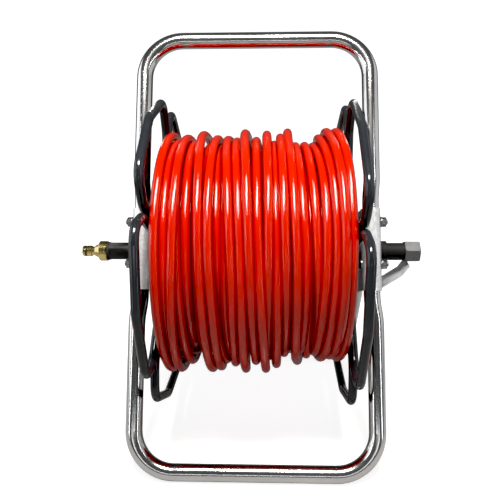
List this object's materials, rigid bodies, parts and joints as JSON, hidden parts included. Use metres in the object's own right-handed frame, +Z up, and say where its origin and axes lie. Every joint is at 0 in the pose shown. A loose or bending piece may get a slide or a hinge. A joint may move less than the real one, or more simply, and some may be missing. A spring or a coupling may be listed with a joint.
{
  "type": "fire hose reel",
  "caption": "Floor-standing hose reel: a tube frame with a rear leg, a fixed axle pipe with a water inlet, and a petal-flanged drum wound with red hose.",
  "frame": {"origin": "on the floor, straight below the middle of the drum's axle", "axes": "+Z up, +X along the axle towards the hexagonal cap, -X towards the water inlet, +Y to the rear leg"},
  "size_m": [0.5255, 0.4608, 0.6096],
  "materials": {
    "frame_tube": "polished stainless tube",
    "zinc_sheet": "satin zinc plate",
    "zinc_fastener": "bright zinc plate",
    "zinc_cap": "dull grey zinc plate",
    "black_pipe": "black painted pipe",
    "black_powder": "gloss black powder coat",
    "black_core": "satin black paint",
    "brass": "machined brass",
    "nickel": "nickel plate",
    "crimped_steel": "crimped aluminium",
    "spring_steel": "spring steel",
    "bush_plastic": "natural acetal",
    "seal_rubber": "black seal rubber",
    "red_hose": "glossy red braided hose"
  },
  "bodies": {
    "frame": {"main_frame": "frame_tube", "rear_leg": "frame_tube", "left_bracket": "zinc_sheet", "right_bracket": "zinc_sheet", "axle_stay": "zinc_sheet", "bracket_bolts": "zinc_fastener", "bracket_nuts": "zinc_fastener", "bracket_washers": "zinc_fastener", "axle_pipe": "black_pipe", "axle_collar": "black_pipe", "left_spacer": "black_pipe", "right_spacer": "black_pipe", "axle_cap": "zinc_cap", "inlet_washer": "seal_rubber", "inlet_nipple": "brass", "inlet_seal": "seal_rubber", "swivel_clips": "spring_steel"},
    "drum": {"core_barrel": "black_core", "swivel_housing": "brass", "swivel_seals": "seal_rubber", "outlet_elbow": "brass", "hose_ferrule": "crimped_steel", "hose_lead_in": "red_hose", "hose_winding": "red_hose", "hose_end": "red_hose", "connector_nut": "brass", "connector_body": "brass", "connector_balls": "spring_steel", "connector_seal": "seal_rubber", "connector_spring": "spring_steel", "left_bush": "bush_plastic", "left_hub_tube": "black_powder", "left_hub_disc": "black_powder", "left_petal_1": "black_powder", "left_petal_2": "black_powder", "left_petal_3": "black_powder", "left_petal_4": "black_powder", "left_petal_5": "black_powder", "right_bush": "bush_plastic", "right_hub_tube": "black_powder", "right_hub_disc": "black_powder", "right_petal_1": "black_powder", "right_petal_2": "black_powder", "right_petal_3": "black_powder", "right_petal_4": "black_powder", "right_petal_5": "black_powder"},
    "connector_collar": {"connector_sleeve": "nickel"}
  },
  "joints": [
    {"name": "drum_spin", "type": "hinge", "parent": "frame", "child": "drum", "pos_m": [0, 0, 0.29], "axis": [1, 0, 0], "continuous": true},
    {"name": "collar_slide", "type": "slide", "parent": "drum", "child": "connector_collar", "axis": [0, 0, 1], "range_m": [0, 0.004], "stiffness_N_per_m": 500, "springref_m": -0.002, "deforming": ["connector_spring"]}
  ]
}
